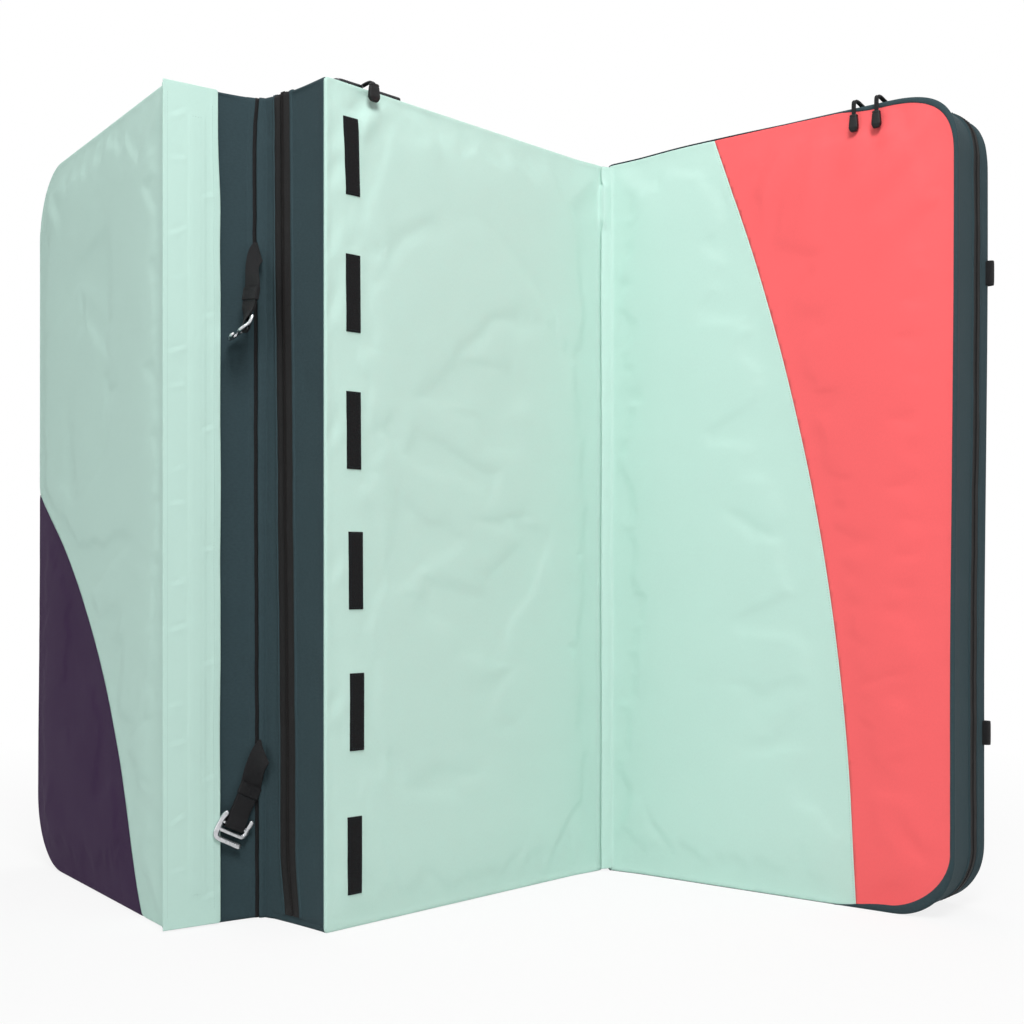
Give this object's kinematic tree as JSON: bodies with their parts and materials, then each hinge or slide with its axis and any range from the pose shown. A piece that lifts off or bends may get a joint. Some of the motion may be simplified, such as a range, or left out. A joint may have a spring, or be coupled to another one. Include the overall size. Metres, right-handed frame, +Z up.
{
  "type": "bouldering crash pad",
  "caption": "Folding foam landing pad for bouldering, covered in cloth, standing half open in a zigzag with closing flap, hook straps, zips and a carrying harness.",
  "frame": {"origin": "centre of the middle panel's lower long edge, on the floor", "axes": "+Z up, +X along the width of the zigzag from the outer panel to the inner panel, +Y away from the viewer's side"},
  "size_m": [1.2958, 0.4832, 1.011],
  "materials": {
    "mint_cover": "pale mint polyester cover cloth, matt",
    "purple_cover": "dark purple polyester cover cloth, matt",
    "coral_cover": "coral polyester cover cloth, matt",
    "slate_cover": "dark slate ballistic polyester, coarse weave",
    "closed_cell_foam": "closed-cell foam sheet",
    "open_cell_foam": "open-cell foam block",
    "zip_tape": "black coil zip on woven tape",
    "black_plastic": "black moulded plastic",
    "black_webbing": "black woven webbing",
    "loop_tape": "black hook and loop tape",
    "aluminium": "bare satin aluminium plate"
  },
  "bodies": {
    "middle_panel": {"inner_fold_seam": "mint_cover", "loop_patch_1": "loop_tape", "loop_patch_2": "loop_tape", "loop_patch_3": "loop_tape", "loop_patch_4": "loop_tape", "loop_patch_5": "loop_tape", "loop_patch_6": "loop_tape", "middle_panel_core_foam": "open_cell_foam", "middle_panel_ground_foam": "closed_cell_foam", "middle_panel_ground_sheet": "slate_cover", "middle_panel_landing_foam": "closed_cell_foam", "middle_panel_landing_sheet": "mint_cover", "middle_panel_side_band": "slate_cover", "middle_panel_zip": "zip_tape", "outer_fold_seam": "slate_cover", "middle_zip_slider": "black_plastic"},
    "outer_panel": {"outer_panel_core_foam": "open_cell_foam", "outer_panel_ground_foam": "closed_cell_foam", "outer_panel_ground_sheet": "slate_cover", "outer_panel_landing_foam": "closed_cell_foam", "outer_panel_mint_sheet": "mint_cover", "outer_panel_purple_sheet": "purple_cover", "outer_panel_side_band": "slate_cover"},
    "inner_panel": {"inner_panel_coral_sheet": "coral_cover", "inner_panel_core_foam": "open_cell_foam", "inner_panel_ground_foam": "closed_cell_foam", "inner_panel_ground_sheet": "slate_cover", "inner_panel_landing_foam": "closed_cell_foam", "inner_panel_mint_sheet": "mint_cover", "inner_panel_side_band": "slate_cover", "inner_panel_zip": "zip_tape", "lower_anchor_loop": "black_webbing", "upper_anchor_loop": "black_webbing", "left_shoulder_strap": "slate_cover", "right_shoulder_strap": "slate_cover", "left_harness_webbing": "black_webbing", "right_harness_webbing": "black_webbing", "left_ladder_lock": "black_plastic", "right_ladder_lock": "black_plastic", "haul_loop": "black_webbing"},
    "flap": {"closing_flap": "mint_cover", "flap_hook_tape": "loop_tape"},
    "lower_strap": {"lower_strap_webbing": "black_webbing", "lower_strap_keeper": "black_webbing"},
    "lower_hook": {"lower_strap_hook": "aluminium"},
    "upper_strap": {"upper_strap_webbing": "black_webbing", "upper_strap_keeper": "black_webbing"},
    "upper_hook": {"upper_strap_hook": "aluminium"},
    "first_top_strap": {"first_top_strap_webbing": "black_webbing"},
    "first_top_hook": {"first_top_strap_hook": "aluminium"},
    "second_top_strap": {"second_top_strap_webbing": "black_webbing"},
    "second_top_hook": {"second_top_strap_hook": "aluminium"},
    "middle_pull": {"middle_pull_stem": "black_plastic", "middle_pull_grip": "black_plastic"},
    "inner_left_slider": {"inner_left_zip_slider": "black_plastic"},
    "inner_left_pull": {"inner_left_pull_stem": "black_plastic", "inner_left_pull_grip": "black_plastic"},
    "inner_right_slider": {"inner_right_zip_slider": "black_plastic"},
    "inner_right_pull": {"inner_right_pull_stem": "black_plastic", "inner_right_pull_grip": "black_plastic"}
  },
  "joints": [
    {"name": "fold_outer", "type": "hinge", "parent": "middle_panel", "child": "outer_panel", "pos_m": [-0.22014, -0.14264, 0], "axis": [0, 0, -1], "range_deg": [-101.1, 78.9], "deforming": ["lower_strap_webbing", "upper_strap_webbing", "upper_strap_keeper", "upper_strap_hook"]},
    {"name": "fold_inner", "type": "hinge", "parent": "middle_panel", "child": "inner_panel", "pos_m": [0.21739, 0.13974, 0], "axis": [0, 0, -1], "range_deg": [-84.9, 95.1]},
    {"name": "flap_swing", "type": "hinge", "parent": "outer_panel", "child": "flap", "pos_m": [-0.32353, -0.21035, 0], "axis": [0, 0, -1], "range_deg": [0, 270], "deforming": ["closing_flap", "flap_hook_tape"]},
    {"name": "lower_strap_swing", "type": "hinge", "parent": "outer_panel", "child": "lower_strap", "pos_m": [-0.22014, -0.14264, 0], "axis": [0, 0, 1], "range_deg": [0, 60]},
    {"name": "lower_hook_swing", "type": "hinge", "parent": "lower_strap", "child": "lower_hook", "pos_m": [-0.25513, -0.16677, 0.112], "axis": [-0.761, -0.5408, 0.3584], "range_deg": [0, 40]},
    {"name": "upper_strap_swing", "type": "hinge", "parent": "outer_panel", "child": "upper_strap", "pos_m": [-0.22014, -0.14264, 0], "axis": [0, 0, 1], "range_deg": [0, 25]},
    {"name": "upper_hook_swing", "type": "hinge", "parent": "upper_strap", "child": "upper_hook", "pos_m": [-0.23644, -0.17753, 0.713], "axis": [-0.2656, 0.9641, 0], "range_deg": [0, 30]},
    {"name": "first_top_strap_swing", "type": "hinge", "parent": "middle_panel", "child": "first_top_strap", "pos_m": [-0.18097, -0.11226, 1.0012], "axis": [-0.6884, -0.7254, 0], "range_deg": [0, 150]},
    {"name": "first_top_hook_swing", "type": "hinge", "parent": "first_top_strap", "child": "first_top_hook", "pos_m": [-0.12294, -0.16732, 1.0023], "axis": [-0.6884, -0.7254, 0], "range_deg": [0, 38]},
    {"name": "second_top_strap_swing", "type": "hinge", "parent": "middle_panel", "child": "second_top_strap", "pos_m": [-0.13967, -0.06873, 1.0012], "axis": [-0.6884, -0.7254, 0], "range_deg": [0, 150]},
    {"name": "second_top_hook_swing", "type": "hinge", "parent": "second_top_strap", "child": "second_top_hook", "pos_m": [-0.08164, -0.1238, 1.0023], "axis": [-0.6884, -0.7254, 0], "range_deg": [0, 38]},
    {"name": "middle_pull_swing", "type": "hinge", "parent": "middle_panel", "child": "middle_pull", "pos_m": [-0.13944, -0.11789, 1.00549], "axis": [-0.6884, -0.7254, 0], "range_deg": [0, 140]},
    {"name": "inner_left_slide", "type": "slide", "parent": "inner_panel", "child": "inner_left_slider", "axis": [0.7837, -0.6211, 0], "range_m": [-0.24, 0]},
    {"name": "inner_left_pull_swing", "type": "hinge", "parent": "inner_left_slider", "child": "inner_left_pull", "pos_m": [0.56346, -0.03057, 1.00549], "axis": [-0.7837, 0.6211, 0], "range_deg": [0, 140]},
    {"name": "inner_right_slide", "type": "slide", "parent": "inner_panel", "child": "inner_right_slider", "axis": [0.7837, -0.6211, 0], "range_m": [-0.016, 0]},
    {"name": "inner_right_pull_swing", "type": "hinge", "parent": "inner_right_slider", "child": "inner_right_pull", "pos_m": [0.58697, -0.0492, 1.00549], "axis": [-0.7837, 0.6211, 0], "range_deg": [0, 140]}
  ]
}
